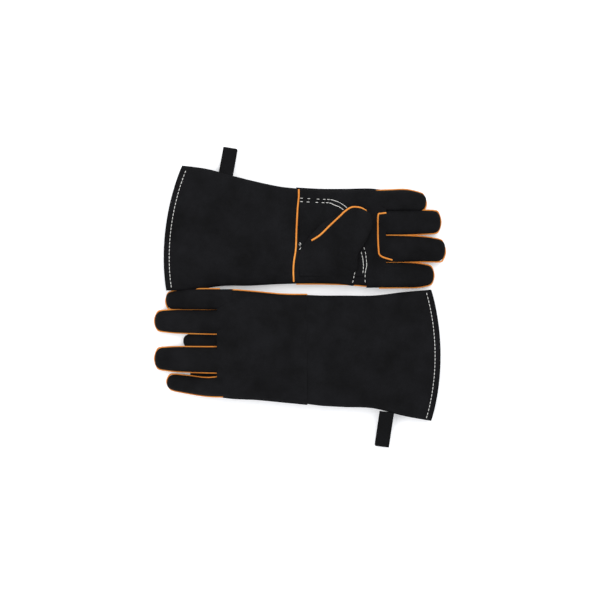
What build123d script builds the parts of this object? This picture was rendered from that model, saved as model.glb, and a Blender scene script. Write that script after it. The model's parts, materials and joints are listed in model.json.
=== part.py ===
from build123d import *
import os
from math import atan, degrees

# A pair of long leather welding gloves lying side by side on a flat surface, millimetres.
# +X runs from the right glove's mouth to its fingertips, +Y to the right glove's side, +Z up.
# The right glove lies palm up; the left glove lies back up, turned end for end.

# ---- driving dimensions -------------------------------------------------------------
LEATHER = 1.5          # split cowhide panels
LINING = 1.0           # cotton lining
WELT = 1.6             # thickness of the welt strip sewn into a seam
WELT_PROUD = 1.4       # how far a welt stands out of its seam
FINGER_PROUD = 0.4     # the same between the fingers, which lie close
PATCH = 1.3            # reinforcing patch on the palm
HEM = 8.0              # width of the turned hem at the mouth
PLY_GAP = 0.1          # between the leather and what is sewn inside it
BODY_GAP = 0.5         # between pieces that move against each other

GAUNTLET = 189.0       # mouth to wrist seam
PALM = 120.0           # wrist seam to the roots of the fingers
HAND_THICK = 26.0      # thickness of the lying hand
MOUTH_THICK = 34.0     # height of the lying mouth
TIP_THICK = 19.0       # a finger near its tip

THUMB_LONG = 97.0
THUMB_WIDE = 68.0      # across the thumb's root
THUMB_TIP = 30.0       # across the thumb near its tip
THUMB_TURN = 61.5      # degrees between the thumb and the hand's length
THUMB_ON_TOP = 20.0    # thickness of the thumb that lies on the palm
THUMB_BENEATH = 15.0   # thickness of the thumb that the hand lies on

LOOP_WIDE = 20.0
LOOP_THICK = 8.0       # both layers and the eye between them
LOOP_NECK = 3.0        # the flat sewn root of the loop
LOOP_SEAT = 1.1        # from the side seam to the line that the loop turns about
LOOP_LEATHER = 1.6
LOOP_DROOP = 16.0      # degrees below level

# across one half of a lying tube: share of the half width, share of the half height
SECTION = [(-1, 0), (-0.95, 0.55), (-0.8, 0.88), (-0.5, 1), (0.5, 1), (0.8, 0.88), (0.95, 0.55), (1, 0)]

# Each glove: +1 points its fingers along +X, side is +1 where the palm faces up.
RIGHT = {
    "name": "right", "run": 1, "palm": 1, "wrist_x": -5.0,
    "mouth": (97.7, 176.0), "wrist": (86.1, 136.0), "roots": (82.5, 137.0),
    "floor": 0.0, "thumb_thick": THUMB_ON_TOP, "thumb_root": (45.0, 39.0),
    "loop": (-108.0, 39.0),
    "fingers": {"little": (137.4, 27.0, 63.0), "ring": (105.8, 31.5, 85.5),
                "middle": (69.3, 36.0, 92.5), "index": (30.8, 33.5, 76.5)},
}
LEFT = {
    "name": "left", "run": -1, "palm": -1, "wrist_x": 11.0,
    "mouth": (-83.2, 185.0), "wrist": (-73.9, 154.0), "roots": (-67.0, 151.0),
    "floor": THUMB_BENEATH + BODY_GAP + PATCH, "thumb_thick": THUMB_BENEATH,
    "thumb_root": (-39.0, -21.0), "loop": (124.0, 46.0),
    "fingers": {"index": (-5.0, 27.0, 83.0), "middle": (-36.0, 32.5, 100.5),
                "ring": (-88.6, 33.0, 100.5), "little": (-127.5, 27.0, 82.0)},
}
TIP_SHARE = 0.55       # a fingertip's width as a share of the finger's
TIP_LONG = 9.0         # length of the rounded tip


# ---- lying tubes --------------------------------------------------------------------
# A station is (x, centre y, middle z, half width, half height) of a lying tube.
def grown(stations, by):
    return [(x, y, z, w + by, h + by) for x, y, z, w, h in stations]


def half(stations, up, lift=0.0):
    """A solid half of the tube, above (up = 1) or below (up = -1) its seam."""
    faces = []
    for x, y, z, w, h in stations:
        points = [(x, y + u * w, z + up * (lift + v * (h - lift))) for u, v in SECTION]
        faces.append(Face(Wire.make_polygon([Vector(*p) for p in points], close=True)))
    return Solid.make_loft([f.outer_wire() for f in faces], ruled=True)


def whole(stations):
    """The solid tube, both halves in one."""
    rings = []
    for x, y, z, w, h in stations:
        top = [(x, y + u * w, z + v * h) for u, v in SECTION]
        low = [(x, y + u * w, z - v * h) for u, v in reversed(SECTION[1:-1])]
        rings.append(Wire.make_polygon([Vector(*p) for p in top + low], close=True))
    return Solid.make_loft(rings, ruled=True)


def slab(stations, thick):
    """A flat layer in the seam plane, as wide as the tube."""
    rings = []
    for x, y, z, w, h in stations:
        corners = [(-w, -1), (w, -1), (w, 1), (-w, 1)]
        rings.append(Wire.make_polygon([Vector(x, y + a, z + b * thick / 2) for a, b in corners], close=True))
    return Solid.make_loft(rings, ruled=True)


def run_past(stations, start, end):
    """The same tube carried on by start and end millimetres at its two ends."""
    (x0, *a), (x1, *b) = stations[0], stations[-1]
    way = 1 if x1 > x0 else -1
    before = [(x0 - way * start, *a)] if start else []
    after = [(x1 + way * end, *b)] if end else []
    return before + stations + after


def panel(stations, up, closed=False):
    """One leather half: a shell from the welt to the outside, shut at its far end if closed."""
    inside = grown(stations, -LEATHER)
    if closed:
        (x, y, z, w, h), way = inside[-1], 1 if inside[-1][0] > inside[0][0] else -1
        inside = run_past(inside[:-1] + [(x - way * LEATHER, y, z, w, h)], 1, 0)
    else:
        inside = run_past(inside, 1, 1)
    return half(stations, up, WELT / 2) - half(inside, up)


def welt(stations, out=WELT_PROUD, closed=False):
    """The welt strips in both side seams, joined round the tip if closed."""
    proud = [(x, y, z, w + out, h) for x, y, z, w, h in stations]
    inside = grown(stations, -LEATHER)
    if closed:
        (x, y, z, w, h), way = inside[-1], 1 if inside[-1][0] > inside[0][0] else -1
        inside = run_past(inside[:-1] + [(x - way * LEATHER, y, z, w, h)], 1, 0)
        (x, y, z, w, h) = proud[-1]
        proud = proud[:-1] + [(x + way * out, y, z, w, h)]
    else:
        inside = run_past(inside, 1, 1)
    return slab(proud, WELT) - slab(inside, 2 * WELT)


def between(stations, x_low, x_high):
    """The stations of the stretch of a two-station tube between two places along X."""
    first, last = stations[0], stations[-1]
    out = []
    for x in (x_low, x_high):
        t = (x - first[0]) / (last[0] - first[0])
        out.append((x, *[a + t * (b - a) for a, b in zip(first[1:], last[1:])]))
    return out


# ---- one glove ----------------------------------------------------------------------
def tubes(g):
    run = g["run"]
    wrist, roots = g["wrist_x"], g["wrist_x"] + run * PALM
    mouth = wrist - run * GAUNTLET
    hand_z = g["floor"] + HAND_THICK / 2
    cuff = [(mouth, g["mouth"][0], MOUTH_THICK / 2, g["mouth"][1] / 2, MOUTH_THICK / 2),
            (wrist, g["wrist"][0], hand_z, g["wrist"][1] / 2, HAND_THICK / 2)]
    hand = [(wrist, g["wrist"][0], hand_z, g["wrist"][1] / 2, HAND_THICK / 2),
            (roots, g["roots"][0], hand_z, g["roots"][1] / 2, HAND_THICK / 2)]
    fingers = {}
    for name, (y, wide, long) in g["fingers"].items():
        start, tip = roots + run * BODY_GAP, roots + run * long
        base_h, tip_h = HAND_THICK / 2 - 1, TIP_THICK / 2
        shoulder = tip - run * TIP_LONG
        fingers[name] = [(start, y, hand_z, wide / 2, base_h),
                         (shoulder, y, tip_h, wide / 2 * 0.92, tip_h),
                         (tip, y, tip_h, wide / 2 * TIP_SHARE, tip_h * 0.6)]
    return cuff, hand, fingers


def thumb_tube(g):
    """The thumb, made along +X from the origin, with its underside at z = 0."""
    h = g["thumb_thick"] / 2
    return [(0, 0, h, THUMB_WIDE / 2, h),
            (0.45 * THUMB_LONG, 0, h, (THUMB_WIDE + THUMB_TIP) / 4 + 0.5, h),
            (THUMB_LONG - TIP_LONG, 0, h, THUMB_TIP / 2 + 2, h * 0.95),
            (THUMB_LONG, 0, h, THUMB_TIP / 2 * TIP_SHARE + 2, h * 0.6)]


def put_thumb(g, solid):
    """Turn the thumb over the palm and lay it on the palm or under it."""
    lay = g["floor"] + HAND_THICK + PATCH + BODY_GAP if g["palm"] > 0 else 0.0
    turn = THUMB_TURN if g["run"] > 0 else THUMB_TURN + 180
    x, y = g["thumb_root"]
    return Pos(x, y, lay) * Rot(0, 0, turn) * solid


def loop(g):
    """The hanging loop: a strip folded back on itself, sewn into the side seam of the cuff."""
    x, long = g["loop"]
    cuff = tubes(g)[0]
    side = 1 if g["run"] > 0 else -1
    _, y, z, w, _ = between(cuff, x, x)[0]
    (x0, y0, _, w0, _), (x1, y1, _, w1, _) = cuff
    slope = (y1 + side * w1 - y0 - side * w0) / (x1 - x0)
    outer = Pos(0, long / 2, 0) * Box(LOOP_WIDE, long - LOOP_NECK, LOOP_THICK)
    inner_long = long - LOOP_NECK - 2 * LOOP_LEATHER
    inner = Pos(0, long / 2, 0) * Box(2 * LOOP_WIDE, inner_long, LOOP_THICK - 2 * LOOP_LEATHER)
    strip = Pos(0, LOOP_NECK / 2, 0) * (outer - inner)
    neck = Pos(0, LOOP_NECK / 2, 0) * Box(LOOP_WIDE, LOOP_NECK, LOOP_LEATHER)
    root = Pos(x, y + side * (w + WELT_PROUD + LOOP_SEAT), z)
    turn = degrees(atan(slope)) + (0 if side > 0 else 180)
    return root * Rot(0, 0, turn) * Rot(-LOOP_DROOP, 0, 0) * (strip + neck)


def glove(g):
    cuff, hand, fingers = tubes(g)
    palm, run = g["palm"], g["run"]
    mouth, wrist = cuff[0][0], cuff[1][0]
    ends = sorted((mouth, wrist))
    pieces = {"cuff_front": panel(cuff, palm), "cuff_back": panel(cuff, -palm),
              "palm": panel(hand, palm), "hand_back": panel(hand, -palm)}
    pieces["side_welt"] = [welt(cuff), welt(hand)]
    # the turned hem inside the mouth, then the lining behind it
    inner = grown(cuff, -(LEATHER + PLY_GAP))
    hem = between(inner, mouth, mouth + run * HEM)
    pieces["cuff_hem"] = whole(hem) - whole(run_past(grown(hem, -LEATHER), 1, 1))
    rest = between(inner, mouth + run * (HEM + PLY_GAP), wrist)
    pieces["cuff_lining"] = whole(rest) - whole(run_past(grown(rest, -LINING), 1, 1))
    inner = grown(hand, -(LEATHER + PLY_GAP))
    pieces["hand_lining"] = whole(inner) - whole(run_past(grown(inner, -LINING), 1, 1))
    # the welt over the wrist seam, and the patch that covers the heel of the palm
    band = between(hand, wrist, wrist + run * 3)
    pieces["wrist_welt"] = half(grown(band, WELT_PROUD), palm, WELT) - half(run_past(band, 1, 1), palm, WELT / 2)
    cover = between(hand, wrist + run * 3, wrist + run * 100)
    patch = half(grown(cover, PATCH), palm, WELT) - half(run_past(cover, 1, 1), palm, WELT / 2)
    centre = (cover[0][1] + cover[1][1]) / 2
    span = Pos((cover[0][0] + cover[1][0]) / 2, centre, 0) * Box(200, 0.78 * g["wrist"][1], 200)
    pieces["palm_patch"] = patch & span
    for name, stations in fingers.items():
        pieces[name + "_front"] = panel(stations, palm, closed=True)
        pieces[name + "_back"] = panel(stations, -palm, closed=True)
        pieces[name + "_welt"] = welt(stations, FINGER_PROUD, closed=True)
    thumb = thumb_tube(g)
    pieces["thumb_front"] = put_thumb(g, panel(thumb, -palm, closed=True))
    pieces["thumb_back"] = put_thumb(g, panel(thumb, palm, closed=True))
    pieces["thumb_welt"] = put_thumb(g, welt(thumb, closed=True))
    pieces["hanging_loop"] = loop(g)
    return pieces


def save(name, group):
    """Write a piece, or a group of separate solids, to its own file."""
    export_step(group[0] if len(group) == 1 else Compound(children=group), f"parts/{name}.step")


# The origin is under the middle of the pair, on the surface that it lies on.
os.makedirs("parts", exist_ok=True)
pair = {f"{g['name']}_{piece}": shape for g in (RIGHT, LEFT) for piece, shape in glove(g).items()}
solids = {name: [s for p in (shape if isinstance(shape, list) else [shape]) for s in p.solids()]
          for name, shape in pair.items()}
boxes = [solid.bounding_box() for group in solids.values() for solid in group]
low = [min(tuple(b.min)[i] for b in boxes) for i in range(3)]
high = [max(tuple(b.max)[i] for b in boxes) for i in range(3)]
middle = Pos(-(low[0] + high[0]) / 2, -(low[1] + high[1]) / 2, -low[2])
print("moved by", middle.position, "size", [b - a for a, b in zip(low, high)])
for name, group in solids.items():
    save(name, [middle * solid for solid in group])
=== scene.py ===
import bpy
import json
from math import cos, pi, sin, sqrt
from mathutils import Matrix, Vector, noise
from mathutils.bvhtree import BVHTree


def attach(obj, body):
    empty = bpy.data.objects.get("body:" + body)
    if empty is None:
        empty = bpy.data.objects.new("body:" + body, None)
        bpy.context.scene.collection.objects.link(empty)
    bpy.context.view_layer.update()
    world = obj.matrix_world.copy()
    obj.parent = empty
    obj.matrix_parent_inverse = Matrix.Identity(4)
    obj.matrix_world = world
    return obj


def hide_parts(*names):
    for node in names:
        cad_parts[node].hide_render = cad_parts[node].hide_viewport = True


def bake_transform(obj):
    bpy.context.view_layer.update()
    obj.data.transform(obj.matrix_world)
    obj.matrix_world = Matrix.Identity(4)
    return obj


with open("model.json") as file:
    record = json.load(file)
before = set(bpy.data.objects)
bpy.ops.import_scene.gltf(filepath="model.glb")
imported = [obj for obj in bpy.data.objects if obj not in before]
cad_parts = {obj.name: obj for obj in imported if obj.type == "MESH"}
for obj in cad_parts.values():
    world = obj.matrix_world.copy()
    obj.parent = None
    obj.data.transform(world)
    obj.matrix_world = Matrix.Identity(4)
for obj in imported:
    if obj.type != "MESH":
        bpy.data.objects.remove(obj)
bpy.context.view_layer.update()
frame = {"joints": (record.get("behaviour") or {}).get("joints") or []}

MM = 0.001
bpy.ops.object.select_all(action="DESELECT")


# Camera, light and floor: a white table under soft light, seen from straight above.
TABLE_WIDTH = 0.861      # width of table that the camera takes in
LENS = 100.0
SENSOR = 36.0            # width of the camera's sensor, in the lens's millimetres
GLOVE_HEIGHT = 0.02      # height at which the table's width is measured
camera = bpy.data.objects.new("camera", bpy.data.cameras.new("camera"))
bpy.context.collection.objects.link(camera)
camera.data.lens = LENS
camera.location = (0.0005, -0.0045, GLOVE_HEIGHT + TABLE_WIDTH * LENS / SENSOR)
bpy.context.scene.camera = camera
bpy.context.scene.view_settings.view_transform = "Standard"

SOFT_BOXES = [((0.5, 0.7, 1.5), 14, 1.2), ((-0.9, -0.3, 1.2), 8, 1.0)]     # place, power, width
for place, power, wide in SOFT_BOXES:
    lamp = bpy.data.objects.new("soft_box", bpy.data.lights.new("soft_box", "AREA"))
    bpy.context.collection.objects.link(lamp)
    lamp.data.energy = power
    lamp.data.size = wide
    lamp.location = place
    lamp.rotation_euler = (-Vector(place)).to_track_quat("-Z", "Y").to_euler()


class Signal:
    """A value that runs between nodes and can be used in an expression."""
    def __init__(self, nodes, socket):
        self.nodes = nodes
        self.socket = socket

    def __mul__(self, other):
        return self.nodes.maths("MULTIPLY", self, other)

    def __or__(self, other):
        return self.nodes.maths("MAXIMUM", self, other)


class Nodes:
    """A material's node tree, with one method for any node."""
    def __init__(self, tree):
        self.tree = tree
        tree.nodes.clear()

    def add(self, kind, settings=None, **inputs):
        node = self.tree.nodes.new(kind)
        for name, value in (settings or {}).items():
            setattr(node, name, value)
        for name, value in inputs.items():
            key = int(name[1:]) if name[0] == "_" else name.replace("_", " ")
            if isinstance(value, Signal):
                self.tree.links.new(value.socket, node.inputs[key])
            else:
                node.inputs[key].default_value = value
        return node

    def signal(self, output, kind, settings=None, **inputs):
        return Signal(self, self.add(kind, settings, **inputs).outputs[output])

    def maths(self, operation, a, b):
        return self.signal(0, "ShaderNodeMath", {"operation": operation}, _0=a, _1=b)


world = bpy.data.worlds.new("studio")
bpy.context.scene.world = world
world.use_nodes = True
n = Nodes(world.node_tree)
rays = n.add("ShaderNodeLightPath").outputs
direct, through, mirrored = (Signal(n, rays[f"Is {k} Ray"]) for k in ("Camera", "Transmission", "Glossy"))
seen = direct | through | mirrored
light = n.signal(0, "ShaderNodeBackground", Color=(0.93, 0.95, 1, 1), Strength=0.75)
white = n.signal(0, "ShaderNodeBackground", Color=(1, 1, 1, 1), Strength=1.0)
n.add("ShaderNodeOutputWorld", Surface=n.signal(0, "ShaderNodeMixShader", _0=seen, _1=light, _2=white))

bpy.ops.mesh.primitive_plane_add(size=12, location=(0, 0, -0.0004))
floor = bpy.context.object
floor.name = "table"
paint = bpy.data.materials.new("white_table")
paint.use_nodes = True
n = Nodes(paint.node_tree)
matt = n.signal(0, "ShaderNodeBsdfDiffuse", Color=(0.96, 0.96, 0.96, 1))
glow = n.signal(0, "ShaderNodeEmission", Color=(1, 1, 1, 1), Strength=0.28)
lit = n.signal(0, "ShaderNodeAddShader", _0=matt, _1=glow)
camera_ray = n.signal("Is Camera Ray", "ShaderNodeLightPath")
shown = n.signal(0, "ShaderNodeMixShader", _0=camera_ray, _1=matt, _2=lit)
n.add("ShaderNodeOutputMaterial", Surface=shown)
floor.data.materials.append(paint)


# Split cowhide: thick leather with a short matt nap. The nap lies in soft patches that differ in roughness
# and in tone; the tone is partly the nap's own and partly painted sheen. Fine fibres roughen it all over.
def leather(name, dark, light, nap, fibre, sheen):
    """dark and light are the nap's two tones, the light one partly painted sheen; nap is the fineness of its
    fibres.
    """
    made = bpy.data.materials.new(name)
    made.use_nodes = True
    n = Nodes(made.node_tree)
    spot = n.signal("Object", "ShaderNodeTexCoord")
    patches = n.signal(0, "ShaderNodeTexNoise", Vector=spot, Scale=26.0, Detail=5.0, Roughness=0.62)
    fine = n.signal(0, "ShaderNodeTexNoise", Vector=spot, Scale=nap, Detail=3.0, Roughness=0.7)
    spread = n.signal(0, "ShaderNodeMapRange", Value=patches * fine, From_Min=0.14, From_Max=0.38)
    # Painted sheen: the colour runs from the dark tone to the light one patch by patch, partly the nap's own
    # uneven tone.
    nap_tone_and_sheen = n.signal(2, "ShaderNodeMix", {"data_type": "RGBA"}, _0=spread, _6=(*dark, 1), _7=(*light, 1))
    bump = n.signal(0, "ShaderNodeBump", Height=fine, Strength=fibre, Distance=0.001)
    rough = n.signal(0, "ShaderNodeMapRange", Value=patches, To_Min=0.82, To_Max=1.0)
    skin = n.signal(0, "ShaderNodeBsdfPrincipled", Base_Color=nap_tone_and_sheen, Roughness=rough, Normal=bump,
                    Sheen_Weight=sheen, Specular_IOR_Level=0.12)
    n.add("ShaderNodeOutputMaterial", Surface=skin)
    return made


suede = leather("black_suede", (0.0012, 0.0012, 0.0015), (0.0085, 0.0085, 0.0098), 1500.0, 0.7, 0.0)
orange = leather("orange_leather", (0.62, 0.19, 0.028), (0.9, 0.36, 0.07), 900.0, 0.2, 0.0)
strap = leather("strap_leather", (0.0018, 0.0018, 0.002), (0.006, 0.006, 0.007), 700.0, 0.25, 0.0)
cotton = leather("cotton_lining", (0.28, 0.27, 0.24), (0.48, 0.46, 0.41), 600.0, 0.5, 0.2)
thread = leather("white_thread", (0.62, 0.61, 0.57), (0.86, 0.85, 0.81), 2500.0, 0.3, 0.0)


# Each leather tube is two panels sewn together along both sides. Both are one grid here,
# rolled about the centre line, flattened as the glove lies, and given its thickness.
def along(values, t):
    """A smooth run through a list of values, at t from 0 to 1."""
    place = t * (len(values) - 1)
    i = min(int(place), len(values) - 2)
    f = place - i
    a = values[max(i - 1, 0)]
    b, c = values[i], values[i + 1]
    d = values[min(i + 2, len(values) - 1)]
    return b + 0.5 * f * (c - a + f * (2 * a - 5 * b + 4 * c - d + f * (3 * (b - c) + d - a)))


def tip_share(s, closed):
    """How much of its width a tube still has at s, where its last share, closed, rounds off."""
    left = (1 - s) / closed
    return sqrt(max(0.0, 1 - (1 - left) ** 2)) ** 0.85 if left < 1 else 1.0


def sign(value):
    return 1 if value > 0 else -1


def thicken(piece, thickness, offset):
    """Give a sheet its thickness, in mm, smooth it and leave nothing selected."""
    skin = piece.modifiers.new("thickness", "SOLIDIFY")
    skin.thickness = thickness * MM
    skin.offset = offset
    bpy.ops.object.modifier_apply(modifier=skin.name)
    bpy.ops.object.shade_smooth()
    piece.select_set(False)


def rolled(name, line, half, low, high, finish, inset=0.0, closed=0.0, level=True, bow=None,
           wrinkle=0.7, steps=56, around=64, wall=1.5, seed=1.0):
    """line, half, low and high are runs of centre, half width, underside and top, in mm.
    closed is the share of the length that rounds off to a tip, and bow bends the open mouth."""
    bpy.ops.mesh.primitive_grid_add(x_subdivisions=steps, y_subdivisions=around, size=2)
    piece = bpy.context.object
    piece.name = name
    xs, ys = [p[0] for p in line], [p[1] for p in line]
    for v in piece.data.vertices:
        t, turn = (v.co.x + 1) / 2, (v.co.y + 1) * pi
        s = 1 - (1 - t) ** 1.4 if closed else t
        tip = tip_share(s, closed) if closed else 1.0
        ahead, behind = min(s + 0.01, 1), max(s - 0.01, 0)
        dx = along(xs, ahead) - along(xs, behind)
        dy = along(ys, ahead) - along(ys, behind)
        size = sqrt(dx * dx + dy * dy)
        nx, ny = (0.0, 1.0) if level else (-dy / size, dx / size)
        c, k = cos(turn), sin(turn)
        out = sign(c) * abs(c) ** 0.85
        lift = sign(k) * abs(k) ** 0.8
        under, top = along(low, s) + inset, along(high, s) - inset
        wide = (along(half, s) - inset) * tip
        z = (under + top) / 2 + (top - under) / 2 * tip ** 0.7 * lift
        place = Vector((along(xs, s) + nx * wide * out, along(ys, s) + ny * wide * out, z))
        if bow:
            place.x += bow(out) * (1 - t)
        broad = noise.noise(place * 0.028 + Vector((0, 0, 7 * seed)))
        small = noise.noise(place * 0.075 + Vector((3 * seed, 0, 0)))
        place.z += wrinkle * (1.6 * broad + 0.7 * small) * abs(k) * (1 if k > 0 else -0.5) * min(1, 6 * t)
        place.z = max(place.z, 0.05)
        v.co = place * MM
    bpy.ops.object.mode_set(mode="EDIT")
    bpy.ops.mesh.select_all(action="SELECT")
    bpy.ops.mesh.remove_doubles(threshold=0.00002)
    bpy.ops.mesh.normals_make_consistent(inside=False)
    bpy.ops.object.mode_set(mode="OBJECT")
    piece.data.materials.append(finish)
    thicken(piece, wall, -1)
    return piece


def surface(pieces):
    """What lies on top of, or under, a place on the pieces."""
    points, faces = [], []
    for piece in pieces:
        start = len(points)
        points += [v.co.copy() for v in piece.data.vertices]
        faces += [[start + i for i in p.vertices] for p in piece.data.polygons]
    tree = BVHTree.FromPolygons(points, faces)

    def height(x, y, down=True):
        start = Vector((x * MM, y * MM, 0.2 if down else -0.2))
        hit = tree.ray_cast(start, Vector((0, 0, -1 if down else 1)))[0]
        return hit.z / MM if hit else None
    return height


def smooth_line(points, step=2.0):
    """Places about step mm apart on a smooth line through the points."""
    xs, ys = [p[0] for p in points], [p[1] for p in points]
    total = sum(sqrt((a[0] - b[0]) ** 2 + (a[1] - b[1]) ** 2) for a, b in zip(points, points[1:]))
    count = max(int(total / step), 2)
    return [(along(xs, i / count), along(ys, i / count)) for i in range(count + 1)]


def piping_on(name, points, finish, height=None, down=True, radius=1.3, sink=0.3, z=None):
    """A welt laid along the points, at the height that height or z gives."""
    curve = bpy.data.curves.new(name, "CURVE")
    curve.dimensions = "3D"
    curve.bevel_depth = radius * MM
    curve.bevel_resolution = 3
    curve.use_fill_caps = True
    places, last = [], 14.0      # mm, where the line starts past the leather's edge
    for x, y in smooth_line(points):
        top = z(x) if z else height(x, y, down)
        if top is None:
            top = last
        last = top
        places.append((x, y, top + (-sink if down else sink)))
    run = curve.splines.new("POLY")
    run.points.add(len(places) - 1)
    for point, (x, y, top) in zip(run.points, places):
        point.co = (x * MM, y * MM, max(top, radius) * MM, 1)
    piece = bpy.data.objects.new(name, curve)
    bpy.context.collection.objects.link(piece)
    bpy.context.view_layer.objects.active = piece
    piece.select_set(True)
    bpy.ops.object.convert(target="MESH")
    piece = bpy.context.object
    bpy.ops.object.shade_smooth()
    piece.data.materials.append(finish)
    piece.select_set(False)
    return piece


def stitches(name, rows, height, down=True, long=4.0, pitch=5.2, thick=0.45):
    """Rows of separate thread stitches lying on the leather."""
    points, faces = [], []
    for row in rows:
        places = smooth_line(row, pitch / 6)
        for i in range(0, len(places) - 4, 6):
            (x0, y0), (x1, y1) = places[i], places[i + 4]
            z0, z1 = height(x0, y0, down), height(x1, y1, down)
            if z0 is None or z1 is None or abs(z0 - z1) > 3:
                continue
            proud = 0.25 if down else -0.25
            a, b = Vector((x0, y0, z0 + proud)), Vector((x1, y1, z1 + proud))
            way = (b - a).normalized()
            side = way.cross(Vector((0, 0, 1))).normalized()
            up = side.cross(way)
            start = len(points)
            for share, fat in ((0.0, 0.25), (0.15, 0.85), (0.5, 1.0), (0.85, 0.85), (1.0, 0.25)):
                for j in range(6):
                    ring = side * cos(j * pi / 3) * thick + up * sin(j * pi / 3) * thick * 0.8
                    points.append((a + way * long * share + ring * fat) * MM)
            for k in range(4):
                for j in range(6):
                    q = start + 6 * k + j
                    r = start + 6 * k + (j + 1) % 6
                    faces.append((q, r, r + 6, q + 6))
            faces.append(tuple(start + j for j in reversed(range(6))))
            faces.append(tuple(start + 24 + j for j in range(6)))
    mesh = bpy.data.meshes.new(name)
    mesh.from_pydata(points, [], faces)
    piece = bpy.data.objects.new(name, mesh)
    bpy.context.collection.objects.link(piece)
    piece.data.materials.append(thread)
    return piece


# The right glove lies palm up, fingers to the right. The left one lies back up, turned end
# for end. Each is a long cuff and a hand of suede over cotton, sewn along both sides.
GLOVES = {
    "right": {
        "run": 1,
        "cuff_line": [(-196, 99), (-155, 97), (-114, 95), (-74, 91), (-35, 88.5), (-3, 87.5)],
        "cuff_half": [90, 87, 79.5, 75, 70.5, 68.5],
        "cuff_low": [0, 0, 0, 0, 0, 0], "cuff_high": [30, 31, 30, 28, 26, 26],
        "bow": lambda out: 46 * ((out + 1) / 2 - 0.25) ** 2 + 1.5,
        "hand_line": [(-5, 87.5), (30, 86.5), (70, 86), (100, 85), (124, 84)],
        "hand_half": [68.5, 67.5, 68, 69.5, 68], "hand_low": [0, 0, 0, 0, 4],
        "hand_high": [26, 26.5, 26, 26, 21],
        "fingers": {
            "little": [[(96, 137.5), (130, 138.5), (155, 138.5), (182, 134.5)], [14.5, 15, 15.2, 12.5]],
            "ring": [[(96, 107), (140, 107), (175, 107.5), (203, 108)], [16.5, 17.5, 17, 15.5]],
            "middle": [[(96, 69), (140, 69), (180, 68.5), (209.5, 65.5)], [19, 19, 17.5, 15]],
            "index": [[(96, 31), (140, 31.5), (170, 31), (193, 31)], [18, 18, 17, 12.5]]},
        "thumb": [[(37, 21), (41, 50), (53, 76), (71, 95.5), (82, 110), (91, 125)],
                  [41, 43, 36, 28.5, 24, 19]],
    },
    "left": {
        "run": -1,
        "cuff_line": [(203, -84), (160, -82), (114, -79), (70, -78), (35, -77), (9, -75)],
        "cuff_half": [94.5, 89, 81, 80, 79, 78],
        "cuff_low": [0, 1, 5, 9, 13, 15.8], "cuff_high": [30, 33, 37, 40, 42, 42.8],
        "bow": lambda out: -50 * (out / 2) ** 2 - 1.5,
        "hand_line": [(11, -75), (-25, -73), (-62, -69.5), (-95, -67.5), (-118, -66.5)],
        "hand_half": [78, 76.5, 76.5, 77, 75], "hand_low": [16, 16.6, 16.8, 16.8, 20.5],
        "hand_high": [42.8, 43, 43, 42.5, 37],
        "fingers": {
            "index": [[(-96, -4), (-140, -3.5), (-170, -4), (-192.5, -6)], [15, 14.5, 14, 11.5]],
            "middle": [[(-96, -35.5), (-140, -35.5), (-180, -35), (-208.5, -34.5)], [17.5, 16.8, 16.2, 13.5]],
            "ring": [[(-96, -90), (-140, -90), (-180, -89.5), (-208.5, -88.5)], [18.5, 18, 17.3, 14.5]],
            "little": [[(-96, -127), (-130, -129), (-160, -126), (-191, -121.5)], [15.5, 13, 12.5, 11]]},
        "thumb": [[(-31, -9), (-35, -38), (-47, -64), (-65, -83.5), (-76, -98), (-85, -113)],
                  [41, 43, 36, 28.5, 24, 19]],
    },
}


def joint_of(child):
    return next(j for j in frame["joints"] if j["child"] == child)


def share_of(values, first, last):
    """The height at x of a run of heights that goes from first to last along X."""
    return lambda x: along(values, min(max((x - first) / (last - first), 0), 1))


def halfway(low, high):
    return [(a + b) / 2 for a, b in zip(low, high)]


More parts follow.
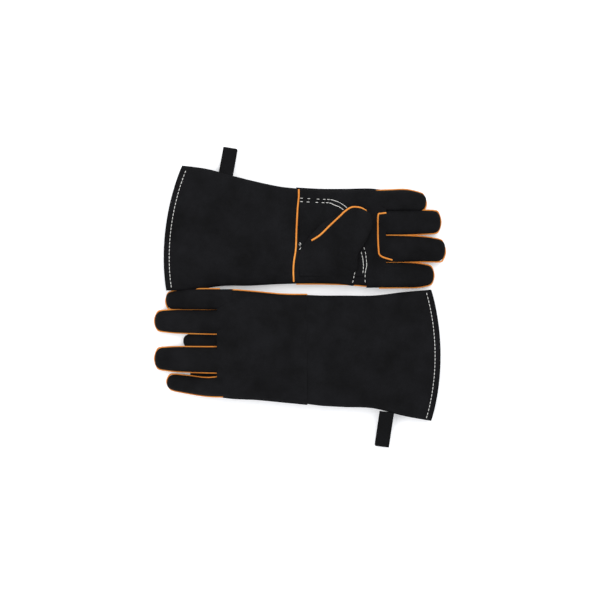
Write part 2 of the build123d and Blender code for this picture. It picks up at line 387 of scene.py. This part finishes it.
CROSSING = 0.014         # how far each side of its root a finger's start and end points lie
FINGER_TIP = 0.16        # share of a finger that rounds off
for side, g in GLOVES.items():
    run, body = g["run"], f"{side}_glove"
    palm_up = side == "right"

    # Cuff: the flared gauntlet, two suede panels sewn along both sides and turned in at the
    # mouth, over a cotton lining that starts behind the turned hem.
    cuff = rolled(f"{side}_cuff", g["cuff_line"], g["cuff_half"], g["cuff_low"], g["cuff_high"], suede,
                  bow=g["bow"], steps=80, around=96, wrinkle=1.3)
    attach(cuff, body)
    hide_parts(f"{side}_cuff_front", f"{side}_cuff_back", f"{side}_cuff_hem")
    lining = rolled(f"{side}_cuff_cotton", g["cuff_line"], g["cuff_half"], g["cuff_low"], g["cuff_high"],
                    cotton, inset=2.6, bow=lambda out, b=g["bow"]: b(out) + run * 9, steps=60, around=64,
                    wrinkle=1.3, wall=1.0)
    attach(lining, body)
    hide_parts(f"{side}_cuff_lining")

    # Hand: the palm and the back of the hand, two suede panels over cotton, from the wrist
    # seam to the roots of the fingers, where they tuck under the finger tubes.
    hand = rolled(f"{side}_hand", g["hand_line"], g["hand_half"], g["hand_low"], g["hand_high"], suede,
                  steps=70, around=96, wrinkle=0.9, seed=2.0)
    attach(hand, body)
    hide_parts(f"{side}_palm", f"{side}_hand_back")
    inner = rolled(f"{side}_hand_cotton", g["hand_line"], g["hand_half"], g["hand_low"], g["hand_high"],
                   cotton, inset=2.8, steps=40, around=64, wrinkle=0.9, wall=1.0, seed=2.0)
    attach(inner, body)
    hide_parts(f"{side}_hand_lining")
    shell = surface([cuff, hand])

    # Fingers: each a front and a back panel sewn round the edge with an orange welt between them.
    base_low, base_high = g["hand_low"][3] + 0.5, g["hand_high"][3] - 0.5
    tubes = []
    for finger, (line, half) in g["fingers"].items():
        child = f"{side}_{finger}_finger"
        low = [base_low + 3, base_low * 0.7, 0.3, 0.2]
        high = [base_high - 4.5, base_high * 0.95, 19.5 + 0.1 * base_high, 18.5]
        tube = rolled(f"{side}_{finger}", line, half, low, high, suede, closed=FINGER_TIP, level=False,
                      steps=48, around=48, wrinkle=0.5, seed=3.0 + len(finger))
        tubes.append(tube)
        x, y, z = joint_of(child)["pos_m"]
        start = (x - run * CROSSING, y, z)
        end = (x + run * CROSSING, y, z)
        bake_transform(tube)
        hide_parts(f"{side}_{finger}_front", f"{side}_{finger}_back")
        xs, ys = [p[0] for p in line], [p[1] for p in line]
        edge = []
        for i in range(25):
            t = i / 12 - 1
            s = 1 - abs(t) * 0.85
            out = along(half, s) * tip_share(s, FINGER_TIP) + 0.4
            edge.append((along(xs, s) + run * 0.4, along(ys, s) + sign(t) * out))
        seam_height = share_of(halfway(low, high), xs[0], xs[-1])
        piping = piping_on(f"{side}_{finger}_piping", edge, orange, radius=1.15, sink=0,
                           z=lambda x, h=seam_height: h(x) + 1)
        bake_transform(piping)
        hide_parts(f"{side}_{finger}_welt")

    # Webs: the strips of suede let in between the fingers, which show where the left
    # glove's fingers are spread.
    webs = {"ring_web": [[(-104, -62.5), (-140, -63.5), (-168, -63.5)], [18, 13.5, 11]],
            "little_web": [[(-104, -110), (-130, -110.5), (-158, -111)], [10, 9, 7]]}
    for name, (line, half) in ({} if palm_up else webs).items():
        web = rolled(f"left_{name}", line, half, [18, 6, 2], [34, 21, 13], suede, closed=0.4, level=False,
                     steps=24, around=24, wrinkle=0.3, seed=4.0)
        x, y, z = joint_of("left_ring_finger")["pos_m"]
        x + CROSSING
        x - CROSSING
        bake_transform(web)

    # Thumb: a broad tapering tube sewn into the palm, lying across it. An orange welt is
    # sewn into its upper edge. Under the left glove it is pressed flat.
    line, half = g["thumb"]
    if palm_up:
        base = g["hand_high"][2]
        low = [base - 16, base - 5, base + 1, base + 1.5, base + 1.5, base + 1.8]
        high = [base - 6, base + 7, base + 14, base + 19, base + 20, base + 17]
    else:
        low = [10, 3, 0.5, 0.1, 0.1, 0.1]
        high = [26, 19, 15.5, 15, 14.8, 14.5]
    thumb = rolled(f"{side}_thumb", line, half, low, high, suede, closed=0.2, level=False, steps=56,
                   around=56, wrinkle=0.8, seed=9.0)
    line[0][0] * MM
    (line[0][1] - run * 4) * MM
    line[0][0] * MM
    (line[0][1] + run * 14) * MM
    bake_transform(thumb)
    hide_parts(f"{side}_thumb_front", f"{side}_thumb_back")
    over = surface([cuff, hand, thumb])

    def placed(points, up=palm_up):
        """Places on the right glove's palm, or the same places on the left glove's, which is
        the right one turned half round about the point (3, 6)."""
        return [(x, y) if up else (6 - x, 12 - y) for x, y in points]

    edge = [(17, 80.5), (29, 88), (43, 101.5), (57.5, 115), (65, 122), (74.5, 127.5), (86, 127), (95, 122.5)]
    seam = piping_on(f"{side}_thumb_piping", placed(edge), orange, height=over, down=palm_up,
                     radius=1.3, sink=-0.2)
    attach(seam, f"{side}_thumb_body")
    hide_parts(f"{side}_thumb_welt")

    # Palm welts: an orange welt in the wrist seam, one where the front of the two middle
    # fingers is sewn to the palm, and one down each side of the hand.
    wrist = [(-1.3, 154), (-1.3, 143), (-3, 125), (-4.5, 95), (-5.5, 68), (-8, 52), (-9, 38), (-8.5, 22)]
    band = piping_on(f"{side}_wrist_piping", placed(wrist), orange, height=shell, down=palm_up)
    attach(band, body)
    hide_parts(f"{side}_wrist_welt")
    row = [(124, 120.5), (117, 119.5), (112.5, 117), (112, 96), (113, 70), (116, 59), (133, 53)]
    over = surface([hand, *tubes])
    knuckle = piping_on(f"{side}_finger_seam", placed(row), orange, height=over, down=palm_up,
                        radius=1.2, sink=0.1)
    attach(knuckle, body)
    xs, ys = [p[0] for p in g["hand_line"]], [p[1] for p in g["hand_line"]]
    seam_height = share_of(halfway(g["hand_low"], g["hand_high"]), xs[0], xs[-1])
    both_sides = [("outer", run, suede, "black_suede"), ("thumb", -run, orange, "orange_welt")]
    shares = [i / 8 for i in range(9)]
    for which, way, finish, slot in both_sides:
        rim = [(along(xs, t), along(ys, t) + way * (along(g["hand_half"], t) + 0.5)) for t in shares]
        side_seam = piping_on(f"{side}_{which}_side_piping", rim, finish, radius=1.1, sink=0, z=seam_height)
        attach(side_seam, body)
    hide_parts(f"{side}_side_welt")

    # Palm patch: a second layer of suede on the heel of the palm, held by a double row of
    # white stitches, with short rows where the thumb is sewn on.
    bpy.ops.mesh.primitive_grid_add(x_subdivisions=44, y_subdivisions=56, size=2)
    patch = bpy.context.object
    patch.name = f"{side}_palm_layer"
    for v in patch.data.vertices:
        x, y = 46 + 46 * v.co.x, 84.5 + 55 * v.co.y
        if v.co.y > 0.6:
            y -= (x / 92) ** 2 * 12 * (v.co.y - 0.6) / 0.4
        x, y = placed([(x, y)])[0]
        z = shell(x, y, palm_up)
        lift = 1.2 if palm_up else -0.9
        v.co = Vector((x, y, (13 if z is None else z) + lift)) * MM
    patch.data.materials.append(suede)
    thicken(patch, 1.2, 0)
    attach(patch, body)
    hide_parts(f"{side}_palm_patch")
    top = surface([patch, cuff, hand, thumb])
    rows = [[(0.7, 141.5), (28, 140), (42.5, 139.5), (49.5, 138), (57, 135), (64, 130.5), (70, 125)],
            [(0.7, 136.5), (28, 135), (42.5, 134.5), (49.5, 131.5), (57, 128.5), (64, 123.5)],
            [(90, 76), (94, 64), (95.5, 52.5), (96, 44), (94, 35), (94, 21)],
            [(87, 68), (89.5, 58), (91, 49.5), (91, 38), (88.5, 20)],
            [(0, 78), (4, 71)], [(-1, 75.5), (2, 69.5), (-4.5, 67)], [(79, 35), (76, 20)]]
    sewn = stitches(f"{side}_palm_stitches", [placed(r) for r in rows], top, palm_up)
    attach(sewn, body)

    # Hem: the edge of the mouth is turned in and held by one row of white stitches, which
    # goes right round the cuff.
    for where, down in (("top", True), ("under", False)):
        hem_line = []
        for i in range(17):
            out = (i - 8) / 8 * 0.965
            x = g["cuff_line"][0][0] + g["bow"](out) + run * 8
            hem_line.append((x, g["cuff_line"][0][1] + out * g["cuff_half"][0] * 0.985))
        hem = stitches(f"{side}_hem_stitches_{where}", [hem_line], surface([cuff]), down)
        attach(hem, body)

    # Hanging loop: a strip of leather folded back on itself and sewn into the side seam of
    # the cuff, drooping to the table.
    hinge = joint_of(f"{side}_loop")
    pos, axis = Vector(hinge["pos_m"]), Vector(hinge["axis"]).normalized()
    outward = Vector((0, 0, 1)).cross(axis)
    long = 0.041 if palm_up else 0.048
    bpy.ops.mesh.primitive_grid_add(x_subdivisions=10, y_subdivisions=60, size=2)
    tab = bpy.context.object
    tab.name = f"{side}_loop_strap"
    for v in tab.data.vertices:
        t = v.co.y
        away = 1 - abs(t)
        gap = 0.0021 * min(1.0, (1 - away) * 9) ** 0.5 * sign(t) * (0.35 + 0.65 * away)
        reach = long * (away * 1.06 - 0.06)
        drop = -0.27 * max(reach, 0) - 0.002 * sin(away * pi)
        skew = 0.0012 if t > 0 else -0.0004
        v.co = pos + axis * (v.co.x * 0.0098 + skew) + outward * reach + Vector((0, 0, drop + gap))
    tab.data.materials.append(strap)
    thicken(tab, 1.4, 0)
    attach(tab, f"{side}_loop")
    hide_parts(f"{side}_hanging_loop")
